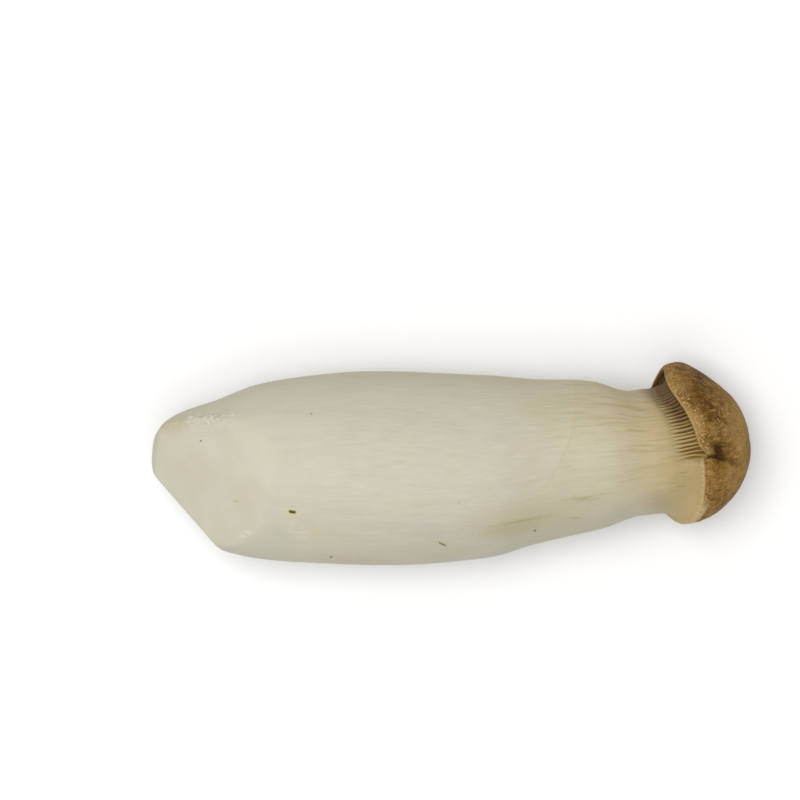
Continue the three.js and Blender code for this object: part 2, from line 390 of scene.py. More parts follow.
def perlin(points, size, stretch=1.0):  # soft noise at each point, with lumps of that size, longer along X
    flat = points.reshape(-1, 3) / (size * stretch, size, size) @ np.array(askew)
    return np.array([noise.noise(Vector(p)) for p in flat]).reshape(points.shape[:-1])


def relief(points, lumps):  # lumps of one height, size and stretch, at an offset that tells them from others
    return lumps["height"] * perlin(points + lumps["offset"], lumps["size"], lumps["stretch"])


def gridNormals(points):
    along = np.gradient(points, axis=0)
    around = np.roll(points[:, :-1], -1, axis=1) - np.roll(points[:, :-1], 1, axis=1)
    around = np.concatenate((around, around[:, :1]), axis=1)
    return unit(np.cross(around, along))


def farFrom(points, a, b):  # distance in plan from the stretch between two places, in the frame
    start, way = np.array(a, float), np.array(b, float) - np.array(a, float)
    plan = points[..., :2] - shift[:2]
    t = np.clip(((plan - start) @ way) / max(way @ way, 1e-9), 0, 1)
    return np.linalg.norm(plan - start - t[..., None] * way, axis=-1)


def closeTo(points, place):  # 1 along the stretch between a place's ends, fading to its sides
    return np.exp(-((farFrom(points, *place["ends"]) / place["reach"]) ** 2))


def bodyGrid():
    angles = np.linspace(0, full, mesh["around"] + 1)
    rows, kinds = [], []

    def add(kind, point, count, start=0.0, end=1.0, closed=False):
        for share in np.linspace(start, end, count, endpoint=closed):
            rows.append(point(np.full_like(angles, share)))
            kinds.append((kind, share))

    def underPoint(share):
        return undersidePoint(angles, share) + sinkWay(angles, share) * valley(angles, share)[..., None]

    def rollPoint(share):
        return marginPoint(angles, innerRoll(angles) * (1 - share) + full * share)

    add("base", lambda share: stemPoint(grownPlace(share), angles), mesh["baseRows"])
    add("stem", lambda x: stemPoint(x, angles), mesh["stemRows"], grownPlace(1), neckCentre[0])
    add("under", underPoint, mesh["underRows"])
    add("margin", rollPoint, mesh["marginRows"])
    add("dome", lambda share: domePoint(angles, share), mesh["domeRows"], mesh["domeFrom"], 1.0, True)
    return np.array(rows), kinds, angles


def easedFlare(points, kinds, angles):  # on the plain side the flare runs into the cap without a lip
    first = next(i for i, (kind, share) in enumerate(kinds) if kind == "under" and share > easing["from"])
    last = next(i for i, (kind, share) in enumerate(kinds) if kind == "dome" and share > easing["to"])
    weight = easing["share"] * (1 - gillSide(angles))[:, None]
    for _ in range(easing["rounds"]):
        between = (points[first - 1 : last - 1] + points[first + 1 : last + 1]) / 2
        points[first:last] += weight * (between - points[first:last])
    return points


# The skin rolled on an even bar, so that a pattern follows its growth
bar = {"radius": 20.0, "under": 12, "margin": 3, "dome": 32}  # and how long each stretch past the neck is


def straightened(points, kinds, angles):
    underEnd = neckCentre[0] + bar["under"]
    marginEnd = underEnd + bar["margin"]
    places = {
        "base": grownPlace,
        "stem": lambda share: share,
        "under": lambda share: neckCentre[0] + bar["under"] * share,
        "margin": lambda share: underEnd + bar["margin"] * share,
        "dome": lambda share: marginEnd + bar["dome"] * share,
    }
    along = np.array([places[kind](share) for kind, share in kinds])[:, None] * np.ones_like(angles)
    even = bar["radius"] * np.ones_like(along)
    return np.stack((along, np.cos(angles) * even, np.sin(angles) * even), -1)


skinEdge = {
    "lengths": {"under": 13, "margin": 0.5, "dome": 33},  # of the way over the skin, from neck to crown
    "reach": 2.2,  # how far the brown skin comes down past the margin, on the plain side
    "pullback": 2.5,  # how much less far it comes on the part that faces the floor
    "pullbackAround": (108 * degrees, 168 * degrees),
    "ragged": {"height": 0.5, "size": 3, "stretch": 1, "offset": 5},
    "blur": (-1.2, 1.4),
    "openBlur": (0.05, 0.4),  # shares of the way round the roll, on the side with gills
    "crest": (0.68, 0.8),
    "back": (0.48, 0.6),
    "rim": 0.055,
    "plainRim": {"at": 0.4, "reach": 1.2, "strength": 0.7},
    "plainLip": {"at": 0, "reach": 1.1, "strength": 0.8},
    "dusty": {"middle": 70 * degrees, "width": 30 * degrees},
    "dustyPatch": {"ends": ((72.2, 10.0), (73.8, 13.5)), "reach": 3, "strength": 0.5},
    "shade": {"middle": 48 * degrees, "width": 46 * degrees, "rise": 0.2, "spread": 0.03},
}
pinches = {  # at the notch: a cleft, the pit behind it, and a crease that runs on over the cap
    "cleft": {"ends": ((67.4, 2.2), (72.4, 2.3)), "reach": 0.5, "depth": 0.75},
    "upperPit": {"ends": ((70.0, 6.2), (72.0, 4.4)), "reach": 1.5, "depth": 0.3},
    "lowerPit": {"ends": ((72.2, 4.0), (72.8, 2.3)), "reach": 1.3, "depth": 0.5},
    "crease": {"ends": ((73.0, 1.8), (77.3, 0.1)), "reach": 1.3, "depth": 0.35},
}
traces = {  # of the ground that it grew in, above the long cut
    "beads": {"ends": ((-71, 12.2), (-59.5, 12.7)), "reach": 1.3, "height": 0.6, "size": 0.85, "offset": 73},
    "rough": {"ends": ((-69, 9.9), (-61, 9.9)), "reach": 2.2, "height": 0.12, "size": 1, "offset": 79},
    "stain": {"ends": ((-79.0, 9.9), (-72.5, 11.8)), "reach": 1.4},
}
facets = {
    "blur": (0.05, 0.5),  # depth of a cut at which its face starts, and is bare
    "marks": {"height": 0.03, "size": 2.2, "stretch": 0.6, "offset": 91},
    "waves": {"height": 0.06, "size": 8, "stretch": 1, "offset": 17},
}
baseEnd = 60  # beyond it nothing is trimmed
topsideFrom, topsideFull = 26, 32  # heights
fades = {"flare": 0.5, "dome": 0.12, "margin": 0.2}  # of the relief: over what shares, and what is left
restRounding = 0.5


def alongEdge(past, line):  # 1 on a line that far past the margin, fading to its sides
    return np.exp(-(((past - line["at"]) / line["reach"]) ** 2))


# Also where shade is painted: down between the gills, on a band of the dome, and in the hollow behind the
# far rim
def capMasks(points, isKind, shares, angles, topside):  # where the brown skin, its rim and the gills lie
    under, margin, dome = isKind["under"], isKind["margin"], isKind["dome"]
    tint = cap["plainTint"]
    plain = 1 - smooth(tint["to"], tint["from"], np.abs(turnTo(angles, tint["middle"])))
    plain = plain * np.ones_like(shares)
    dusty = bump(angles, skinEdge["dusty"])
    crest = smooth(*skinEdge["crest"], shares)

    # millimetres past the margin, and past the skin's edge on the plain side
    lengths = skinEdge["lengths"]
    past = lengths["under"] * shares - (lengths["under"] + lengths["margin"])
    past = np.where(margin, lengths["margin"] * (shares - 1), past)
    past = np.where(dome, lengths["dome"] * shares, past)
    past = np.where(isKind["base"] | isKind["stem"], -stem["length"], past)
    pullback = skinEdge["pullback"] * smooth(*skinEdge["pullbackAround"], angles % full)
    past = past + skinEdge["reach"] - pullback

    plainSkin = smooth(*skinEdge["blur"], past + relief(points, skinEdge["ragged"]))
    openSkin = np.where(margin, smooth(*skinEdge["openBlur"], shares), np.where(dome, 1.0, 0.0))
    rolled = np.where(margin, crest, np.exp(-((shares / skinEdge["rim"]) ** 2)) * dome)
    patch = skinEdge["dustyPatch"]["strength"] * closeTo(points, skinEdge["dustyPatch"]) * topside
    plainRim = skinEdge["plainRim"]["strength"] * alongEdge(past, skinEdge["plainRim"])
    plainLip = skinEdge["plainLip"]["strength"] * alongEdge(past, skinEdge["plainLip"])
    openLip = np.where(margin, 1 - crest, 0.0) * (0.5 + 0.5 * dusty)
    shade = skinEdge["shade"]
    shaded = np.where(dome, np.exp(-((shares - shade["rise"]) ** 2) / shade["spread"]), 0.0)
    behindLip = np.where(margin, 1 - smooth(*skinEdge["back"], shares), 0.0)
    return {
        "skin": plain * plainSkin + (1 - plain) * openSkin,
        "rim": np.maximum((1 - plain) * rolled * (0.25 + 0.75 * dusty) + plain * plainRim, patch * dome),
        "lip": (1 - plain) * openLip + plain * plainLip,
        "flow": np.where(under, shares, 0.0) + np.where(margin | dome, 1.0, 0.0),
        "rootShade": np.where(under, valley(angles[None, :], shares) / gills["depth"], 0.0),
        "plain": plain,
        "shade": shaded * (0.25 + 0.75 * bump(angles, shade)),
        "recessShade": recessShade(angles[None, :], np.where(under, shares, behindLip)) * (under | margin),
    }


def bodyDetail(points, kinds, angles):
    names = [kind for kind, _ in kinds]
    shares = np.array([share for _, share in kinds])[:, None] * np.ones_like(angles)
    isKind = {kind: np.array([name == kind for name in names])[:, None] for kind in set(names)}
    onStem = isKind["base"] | isKind["stem"]
    onCap = isKind["dome"] | isKind["margin"]
    points = easedFlare(points, kinds, angles)
    normals = gridNormals(points)
    topside = smooth(topsideFrom, topsideFull, points[..., 2])
    masks = capMasks(points, isKind, shares, angles, topside)

    # soft swellings and fibres
    grown = straightened(points, kinds, angles)
    toNeck = smooth(*neck["ribsAlong"], points[..., 0])
    toNeck = toNeck * smooth(*neck["ribsAround"], np.cos(angles - neck["ribsMiddle"]))
    height = relief(points, stem["lumps"]) + relief(grown, stem["dents"])
    height = height + relief(grown, stem["fibres"]) + toNeck * relief(grown, neck["ribs"])
    height = height * np.where(isKind["under"], 1 - smooth(0, fades["flare"], shares), 1.0)
    capHeight = relief(points, cap["lumps"]) + relief(points, cap["grain"])
    fading = np.where(isKind["dome"], smooth(0, fades["dome"], shares), fades["margin"])
    capHeight = capHeight * fading
    height = np.where(onCap, capHeight, height)
    pinch = sum(place["depth"] * closeTo(points, place) for place in pinches.values()) * topside * onCap
    height = height - pinch

    # the cuts, and what the ground left above the long one
    cutPoints, cutDepth = trimmed(points)
    byBase = (points[..., 0] < baseEnd) & onStem
    cut = np.where(byBase, smooth(*facets["blur"], cutDepth), 0.0)
    bare = np.where(byBase[..., None], cutPoints, points)
    height = height * (1 - cut) + (relief(points, facets["marks"]) + relief(points, facets["waves"])) * cut
    for name, trace in traces.items():
        masks[name] = closeTo(points, trace) * topside * onStem
    beads, rough = traces["beads"], traces["rough"]
    crumbs = smooth(0.0, 0.3, perlin(points + beads["offset"], beads["size"]))
    height = height + beads["height"] * masks["beads"] * crumbs
    height = height + rough["height"] * masks["rough"] * perlin(points + rough["offset"], rough["size"])
    dressed = bare + normals * height[..., None]

    # flat where it rests
    dressed[..., 2] = -softLeast(-dressed[..., 2], 0.0 * dressed[..., 2], restRounding)
    masks["cut"] = cut
    # The pinch also sets where shade is painted in the cleft and pit at the notch
    masks["pinch"] = np.clip(pinch, 0, 1)
    return dressed, grown, masks


def newPiece(name, bm, material):
    data = bpy.data.meshes.new(name)
    bm.to_mesh(data)
    bm.free()
    for face in data.polygons:
        face.use_smooth = True
    piece = bpy.data.objects.new(name, data)
    bpy.context.scene.collection.objects.link(piece)
    data.materials.append(material)
    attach(piece, "root")
    return piece


def buildBody(material):
    points, kinds, angles = bodyGrid()
    points, grown, masks = bodyDetail(points, kinds, angles)
    places = toFrame(points)
    rowCount = len(kinds)
    bm = bmesh.new()
    bmesh.ops.create_grid(bm, x_segments=mesh["around"], y_segments=rowCount - 1, size=1)
    layers = {name: bm.verts.layers.float.new(name) for name in masks}
    growth = bm.verts.layers.float_vector.new("grown")
    for vert in bm.verts:
        column = round((vert.co.x + 1) / 2 * mesh["around"])
        row = round((vert.co.y + 1) / 2 * (rowCount - 1))
        vert.co = places[row, column]
        vert[growth] = grown[row, column]
        for name, layer in layers.items():
            vert[layer] = masks[name][row, column]
    bmesh.ops.remove_doubles(bm, verts=bm.verts, dist=mesh["weld"] * metresPerMm)
    bmesh.ops.recalc_face_normals(bm, faces=bm.faces)
    body = newPiece("stem_and_cap", bm, material)
    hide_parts("mushroom")
    print("body", len(body.data.vertices), "corners")
    return body


# Gills: thin blades, laid side by side by an array and then stood round the neck
def bladeRow(count, sides=8, steps=22):
    bm = bmesh.new()
    lying = Matrix.Rotation(90 * degrees, 4, "Y")
    bmesh.ops.create_cone(bm, cap_ends=True, segments=sides, radius1=1, radius2=1, depth=1, matrix=lying)
    longEdges = [e for e in bm.edges if abs(e.verts[0].co.x - e.verts[1].co.x) > 0.5]
    bmesh.ops.subdivide_edges(bm, edges=longEdges, cuts=steps - 1, use_grid_fill=True)
    data = bpy.data.meshes.new("blade")
    bm.to_mesh(data)
    bm.free()
    row = bpy.data.objects.new("blade", data)
    bpy.context.scene.collection.objects.link(row)
    beside = row.modifiers.new("beside", "ARRAY")
    beside.count = count
    bpy.context.view_layer.update()
    evaluated = row.evaluated_get(bpy.context.evaluated_depsgraph_get())
    laid = bpy.data.meshes.new_from_object(evaluated)
    template = np.array([v.co for v in data.vertices])
    bpy.data.objects.remove(row)
    return laid, template


def buildGills(material):
    draw = np.random.default_rng(gills["seed"])
    fullCount = round(full * neckRadius / gills["pitch"])
    pitch = full / fullCount
    stray = draw.uniform(-gills["stray"], gills["stray"], fullCount)
    fullMiddles = np.arange(fullCount) * pitch + stray * pitch
    between = np.flatnonzero(draw.random(fullCount) < gills["shortShare"])
    shortMiddles = (between + 0.5) * pitch
    middles = np.concatenate((fullMiddles, shortMiddles))
    count = len(middles)
    isShort = np.concatenate((np.zeros(fullCount), np.ones(len(between))))
    starts = np.where(isShort, gills["shortFrom"] + draw.uniform(*gills["shortStray"], count), 0.0)
    starts = starts + draw.uniform(gills["startFrom"], gills["startTo"], count) * (1 - isShort)
    bow = draw.normal(0, gills["bow"], count) * pitch
    width = gills["thickness"] * draw.uniform(gills["thinnest"], gills["thickest"], count)
    width = width * (1 - gills["shortThinner"] * isShort)
    keep = gillSide(middles) > gills["leastOpen"]
    middles, isShort, starts, bow, width = (each[keep] for each in (middles, isShort, starts, bow, width))
    laid, template = bladeRow(len(middles))

    # each blade's own way from the neck to the margin
    along = np.clip(template[:, 0] + 0.5, 0, 1)[None, :]
    across, up = template[:, 1][None, :], template[:, 2][None, :]
    across = np.sign(across) * np.abs(across) ** gills["boxiness"]
    start = starts[:, None]
    share = start + (gills["tip"] - start) * along
    wave = np.sin(gills["bows"] * math.pi * along + gills["bowTurn"] * middles[:, None])
    angle = middles[:, None] + bow[:, None] * wave + 0.0 * up
    crest = undersidePoint(angle, share)
    sideways = unit(undersidePoint(angle + 0.01, share) - undersidePoint(angle - 0.01, share))

    # its crest is sunk where it starts, and its root goes deeper than the gap beside it
    depth = valley(angle, share)
    sunk = gills["sunk"] * (1 - smooth(0, 0.4, along)) + gills["sunk"] * (1 - gillSide(angle))
    sunk = sunk + gills["shortSunk"] * isShort[:, None] * (1 - smooth(0, 0.5, along)) * depth
    below = (1 - up) / 2
    drop = sunk + below * np.maximum(depth - sunk + gills["rootBelow"], gills["leastHeight"])
    thick = width[:, None] / 2 * (gills["thinStart"] + (1 - gills["thinStart"]) * smooth(0, 0.35, along))
    wedge = gills["crestShare"] + gills["rootWider"] * below
    places = crest + sideways * (across * thick * wedge)[..., None]
    places = places + sinkWay(angle, share) * drop[..., None]

    laid.vertices.foreach_set("co", toFrame(places).reshape(-1).astype(np.float32))
    # Painted shade on the blades: towards their roots, and in the hollow behind the far rim
    shadow = recessShade(middles[:, None], share)
    for name, values in (("rootShade", below * smooth(0.15, 0.6, share)), ("flow", share), ("recessShade", shadow)):
        mask = laid.attributes.new(name, "FLOAT", "POINT")
        mask.data.foreach_set("value", values.reshape(-1).astype(np.float32))
    bm = bmesh.new()
    bm.from_mesh(laid)
    bmesh.ops.recalc_face_normals(bm, faces=bm.faces)
    piece = newPiece("gills", bm, material)
    bpy.data.meshes.remove(laid)
    print("gills", len(middles), "blades")
    return piece


# Scraps: a sliver of straw, a dark crumb in its pit and two curled flakes of skin, lying on the stem
scraps = {
    "sliver": {"at": (-2.5, -21.3), "size": (2.5, 0.4, 0.3), "turn": -38, "tone": (150, 118, 66)},
    "crumb": {"at": (-42.6, -12.4), "size": (1.8, 0.75, 0.3), "turn": -8, "tone": (86, 70, 40)},
    "flake": {"at": (-55.9, -19.0), "size": (1.6, 0.3, 0.16), "turn": 30, "tone": (218, 214, 200)},
    "flakeBeside": {"at": (-54.6, -18.4), "size": (0.9, 0.25, 0.14), "turn": 55, "tone": (218, 214, 200)},
}
scrapForm = {"uneven": 0.6, "knobs": 4, "curl": 0.6, "lift": 0.2}  # the lift is a share of the height
aboveAll = 100


def buildScraps(body):
    bpy.context.view_layer.update()
    for name, scrap in scraps.items():
        above = Vector((*scrap["at"], aboveAll)) * metresPerMm
        _, point, out, _ = body.ray_cast(above, (0, 0, -1))
        length, width, height = (side * metresPerMm for side in scrap["size"])
        bm = bmesh.new()
        bmesh.ops.create_icosphere(bm, subdivisions=4, radius=0.5)
        own = Vector((*scrap["at"], 0))
        for vert in bm.verts:  # uneven, and curled up at its ends
            vert.co *= 1 + scrapForm["uneven"] * noise.noise(vert.co * scrapForm["knobs"] + own)
            vert.co.z += scrapForm["curl"] * vert.co.x * vert.co.x
        along = Vector((1, 0, 0)).cross(out).cross(-out).normalized()
        across = out.cross(along)
        turned = Matrix.Rotation(scrap["turn"] * degrees, 4, "Z")
        lying = Matrix((along, across, out)).transposed().to_4x4() @ turned
        place = Matrix.Translation(point + out * height * scrapForm["lift"])
        size = Matrix.Diagonal((length, width, height, 1))
        bmesh.ops.transform(bm, matrix=place @ lying @ size, verts=bm.verts)
        newPiece(name, bm, scrapMaterial(name, colour(*scrap["tone"])))
    print("scraps", len(scraps))


# Shader maths
def linear(c):  # one part of a screen colour, 0 to 255, as Blender's linear one
    return ((c / 255 + 0.055) / 1.055) ** 2.4 if c > 10 else c / 255 / 12.92


def colour(r, g, b):
    return linear(r), linear(g), linear(b), 1.0


class Value:  # a number socket that can be added, multiplied and compared
    def __init__(self, maker, socket):
        self.maker = maker
        self.socket = socket

    def sum(self, operation, a, b):
        node = self.maker.node("ShaderNodeMath", {"operation": operation}, {0: a, 1: b})
        return Value(self.maker, node.outputs[0])

    def __add__(self, other):
        return self.sum("ADD", self, other)

    def __radd__(self, other):
        return self.sum("ADD", other, self)

    def __sub__(self, other):
        return self.sum("SUBTRACT", self, other)

    def __rsub__(self, other):
        return self.sum("SUBTRACT", other, self)

    def __mul__(self, other):
        return self.sum("MULTIPLY", self, other)

    def __rmul__(self, other):
        return self.sum("MULTIPLY", other, self)

    def between(self, low, high):  # 0 at low, 1 at high, smooth between
        inputs = {"Value": self, "From Min": low, "From Max": high}
        node = self.maker.node("ShaderNodeMapRange", {"interpolation_type": "SMOOTHSTEP"}, inputs)
        return Value(self.maker, node.outputs[0])


class Maker:  # makes a material's nodes
    def __init__(self, name):
        self.material = bpy.data.materials.new(name)
        self.material.use_nodes = True
        self.tree = self.material.node_tree
        self.tree.nodes.clear()

    def node(self, kind, settings=None, inputs=None):
        node = self.tree.nodes.new(kind)
        for name, value in (settings or {}).items():
            setattr(node, name, value)
        for name, value in (inputs or {}).items():
            if isinstance(value, Value):
                value = value.socket
            if isinstance(value, bpy.types.NodeSocket):
                self.tree.links.new(value, node.inputs[name])
            else:
                node.inputs[name].default_value = value
        return node

    def place(self, grown=False):  # where a point lies, in millimetres
        if grown:
            return self.node("ShaderNodeAttribute", {"attribute_name": "grown"}).outputs["Vector"]
        coordinates = self.node("ShaderNodeTexCoord").outputs["Object"]
        factors = (1 / metresPerMm, 1 / metresPerMm, 1 / metresPerMm)
        scaled = self.node("ShaderNodeVectorMath", {"operation": "MULTIPLY"}, {0: coordinates, 1: factors})
        return scaled.outputs[0]

    def axis(self, letter, grown=False):
        split = self.node("ShaderNodeSeparateXYZ", None, {0: self.place(grown)})
        return Value(self, split.outputs[letter])

    def mask(self, name):
        return Value(self, self.node("ShaderNodeAttribute", {"attribute_name": name}).outputs["Fac"])

    def lumps(self, size, stretch=1, detail=2.0, roughness=0.5, seed=0, grown=False):
        values = {"Scale": 1 / size, "Detail": detail, "Roughness": roughness}
        values["Vector"] = self.turned(self.place(grown), stretch, seed)
        return Value(self, self.node("ShaderNodeTexNoise", None, values).outputs["Fac"])

    def turned(self, place, stretch, seed):  # drawn out along X, and turned so that no lumps line up
        values = {
            "Vector": place,
            "Scale": (1 / stretch, 1, 1),
            "Rotation": askew.to_euler(),
            "Location": (seed, 0, 0),
        }
        return self.node("ShaderNodeMapping", {"vector_type": "POINT"}, values).outputs[0]

    def grains(self, size, share, seed=0):  # round grains, in that share of the places for one
        values = {"Vector": self.turned(self.place(), 1, seed), "Scale": 1 / size}
        cells = self.node("ShaderNodeTexVoronoi", None, values)
        chance = self.node("ShaderNodeSeparateXYZ", None, {0: cells.outputs["Color"]})
        picked = Value(self, chance.outputs["X"]).between(1 - share, 1.1 - share)
        return picked * (1 - Value(self, cells.outputs["Distance"]).between(0.15, 0.5))

    def spot(self, at, reach, turn=0.0):  # 1 at a place seen from above, falling to 0 at its reach
        values = {
            "Vector": self.place(),
            "Location": (at[0], at[1], 0),
            "Rotation": (0, 0, turn * degrees),
            "Scale": (reach[0], reach[1], 1e4),
        }
        inside = self.node("ShaderNodeMapping", {"vector_type": "TEXTURE"}, values)
        length = self.node("ShaderNodeVectorMath", {"operation": "LENGTH"}, {0: inside.outputs[0]})
        uneven = 0.9 * (self.lumps(0.6, 1, 3, seed=71) - 0.5)
        return 1 - (Value(self, length.outputs["Value"]) + uneven).between(0.1, 1)

    def topside(self):
        return self.axis("Z").between(22, 26)

    def crossing(self, start, slope, bend):  # how far beyond a curve across the stem, seen from above
        down = start[1] - self.axis("Y")
        return self.axis("X") - start[0] - slope * down - bend * down * down

    def blend(self, factor, a, b, how="MIX"):
        settings = {"data_type": "RGBA", "blend_type": how}
        node = self.node("ShaderNodeMix", settings, {0: factor, 6: a, 7: b})
        return node.outputs[2]

    def ramp(self, value, stops):
        node = self.node("ShaderNodeValToRGB", None, {"Fac": value})
        elements = node.color_ramp.elements
        while len(elements) < len(stops):
            elements.new(1)
        for element, (position, shade) in zip(elements, stops):
            element.position = position
            element.color = shade
        return node.outputs["Color"]

    def bumped(self, height, strength=1.0):  # height in millimetres
        inputs = {"Height": height, "Strength": strength, "Distance": metresPerMm}
        return self.node("ShaderNodeBump", None, inputs).outputs["Normal"]

    def shader(self, inputs):
        return self.node("ShaderNodeBsdfPrincipled", None, inputs).outputs[0]

    def finish(self, surface):
        self.node("ShaderNodeOutputMaterial", None, {"Surface": surface})
        return self.material


flesh = {
    "cut": colour(194, 190, 172),
    "cutWarm": colour(191, 185, 164),
    "base": colour(190, 186, 168),
    "middle": colour(184, 180, 162),
    "warm": colour(184, 176, 150),
    "neck": colour(181, 161, 119),
    "flare": colour(174, 153, 107),
    "side": colour(174, 162, 125),
    "shadow": colour(176, 171, 151),
    "streak": colour(164, 148, 110),
    "tan": colour(150, 131, 86),
    "olive": colour(160, 149, 106),
    "yellow": colour(198, 188, 142),
    "speck": colour(74, 60, 34),
    "grey": colour(176, 175, 163),
    "white": colour(212, 210, 196),
}
# The crest is the gills' own tone; the root and recess tones are painted shade
gillTone = {"crest": colour(158, 131, 70), "root": colour(116, 87, 36), "recessShade": colour(78, 52, 17)}
skinTone = {
    "pale": colour(163, 131, 79),
    "light": colour(146, 113, 60),
    "middle": colour(123, 90, 38),
    "dark": colour(84, 54, 12),
    # painted shade for the cleft and pit at the notch
    "pit": colour(50, 27, 4),
    "lip": colour(172, 146, 98),
    "dust": colour(190, 162, 112),
}
fleshAlong = ((0.0, "base"), (0.62, "middle"), (0.84, "warm"), (0.93, "neck"), (0.99, "flare"))
skinByDepth = ((0.385, "dark"), (0.455, "middle"), (0.525, "light"), (0.61, "pale"))

# Marks on the stem, as seen from above: tone, place, reach along and across, turn and strength
marks = (
    # painted shade on the lower flank where the stem narrows, in two layers
    ("shadow", (22.0, -15.5), (26.0, 9.0), 10, 0.85),
    ("side", (20.0, -13.5), (24.0, 7.0), 10, 0.35),
    ("tan", (57.0, -11.0), (8.0, 6.0), 0, 0.5),
    ("yellow", (-42.7, -12.5), (3.1, 1.5), -4, 0.9),
    ("speck", (-42.7, -12.5), (1.5, 0.62), -8, 0.9),
    ("speck", (-67.7, 6.3), (0.5, 0.42), 20, 0.95),
    ("streak", (-58.1, -9.9), (1.3, 0.35), -5, 0.8),
    ("speck", (-37.6, 13.7), (0.5, 0.4), 0, 0.5),
    ("speck", (-32.6, -25.2), (0.6, 0.42), 0, 0.85),
    ("speck", (22.5, -17.9), (0.62, 0.45), 10, 0.95),
    ("olive", (1.7, -9.9), (0.3, 0.75), 0, 0.6),
    ("white", (-55.6, -18.7), (2.6, 1.4), 25, 0.8, "frayed"),
    ("white", (-40.9, -17.0), (4.0, 4.5), 0, 0.6, "frayed"),
    ("yellow", (-36.5, -19.0), (9.0, 5.0), 0, 0.3, "frayed"),
    ("olive", (19.5, -14.9), (10.5, 0.7), 10, 0.75),
    ("olive", (33.4, -14.5), (3.0, 0.6), 4, 0.6),
    ("olive", (35.8, -9.1), (7.0, 1.7), 4, 0.75, "frayed"),
    ("olive", (31.9, 0.0), (6.0, 3.2), 0, 0.5, "frayed"),
    # painted shade along the far top edge
    ("grey", (-49.0, 16.3), (8.0, 3.0), 18, 0.5),
    ("grey", (49.0, -14.5), (16.0, 9.0), 8, 0.42),
    ("base", (38.0, 1.0), (17.0, 11.0), 0, 0.45),
    ("olive", (16.5, -17.1), (15.0, 3.2), 10, 0.35),
    ("grey", (-6.5, -17.4), (11.0, 4.0), 4, 0.6),
)

# A darker and a paler place on the cap: tone, place, reach along and across, strength
capMarks = (
    ("dark", (64.5, 18.5), (8.0, 6.0), 0.35),
    ("pale", (79.0, 9.0), (8.0, 12.0), 0.4),
)


def fleshColour(m):
    x, y, z = (m.axis(letter) for letter in "XYZ")
    grownX, grownY, grownZ = (m.axis(letter, grown=True) for letter in "XYZ")
    clouds = m.lumps(13, 2.2, 3)
    along = grownX + 8 * (clouds - 0.5)
    along = along + 0.16 * grownY + 0.24 * grownZ
    warmed = m.node("ShaderNodeMapRange", None, {"Value": along, "From Min": 0, "From Max": 150})
    tone = m.ramp(warmed.outputs[0], [(share, flesh[name]) for share, name in fleshAlong])
    tone = m.blend(0.4 * clouds.between(0.5, 0.75), tone, flesh["side"])
    tone = m.blend(0.35 * m.lumps(9, 1.5, 2, seed=40).between(0.5, 0.75), tone, flesh["grey"])
    # Painted shade: lower down the flanks grow darker, in a grey shadow tone on the near side and more
    # strongly in a yellower tone on the far side
    flankShade = 1 - z.between(12, 44)
    side = m.blend(y.between(-8, 8), flesh["shadow"], flesh["side"])
    tone = m.blend(flankShade * (0.3 + 0.4 * y.between(-8, 8)), tone, side)

    # fibres, from hardly any at the base to fine ribs under the gills
    toNeck = grownX.between(92, 132)
    strength = grownX.between(22, 60) * (0.45 + 0.55 * toNeck)
    fine = m.lumps(0.55, 10, 4, 0.6, grown=True)
    broad = m.lumps(1.7, 8, 4, 0.6, seed=9, grown=True)
    tone = m.blend(strength * 0.42 * fine.between(0.52, 0.74), tone, flesh["streak"])
    tone = m.blend(strength * 0.4 * broad.between(0.52, 0.76), tone, flesh["side"])
    tone = m.blend(strength * (0.3 - 0.2 * toNeck) * (1 - fine.between(0.3, 0.48)), tone, flesh["white"])
    ribs = m.lumps(0.7, 14, 3, 0.55, seed=3, grown=True).between(0.49, 0.62)
    ribs = ribs * grownX.between(104, 134)
    ribs = ribs * grownY.between(-14, 6) * grownZ.between(-6, 6)
    tone = m.blend(0.9 * ribs, tone, flesh["streak"])

    # two faint edges that cross the stem, each painted as a line of shade: where the long cut ends, and
    # where the ribs begin
    wobble = 1.2 * (m.lumps(2.5, 1, 3, seed=33) - 0.5)
    cutEdge = m.crossing((-58.2, 6.2), 0.2, 0.0285) + wobble
    inReach = y.between(-12, -6) * (1 - y.between(4, 8)) * m.topside()
    line = cutEdge.between(-0.5, 0) * (1 - cutEdge.between(0, 0.5))
    tone = m.blend(0.7 * line * inReach, tone, flesh["shadow"])
    ribEdge = m.crossing((33.5, 19.9), 0, -0.0135) + wobble
    inReach = y.between(-8, -3) * m.topside() * (1 - x.between(38, 60))
    line = ribEdge.between(-0.5, 0) * (1 - ribEdge.between(0, 0.9))
    return m.blend((0.25 * line + 0.15 * ribEdge.between(-0.5, 0.5)) * inReach, tone, flesh["side"])


def withMarks(m, tone):
    fray = m.lumps(0.9, 6, 3, 0.6, seed=21, grown=True).between(0.42, 0.62)
    for name, at, reach, turn, strength, *frayed in marks:
        stain = m.spot(at, reach, turn) * m.topside()
        if frayed:
            stain = stain * fray
        tone = m.blend(strength * stain, tone, flesh[name])
    return tone


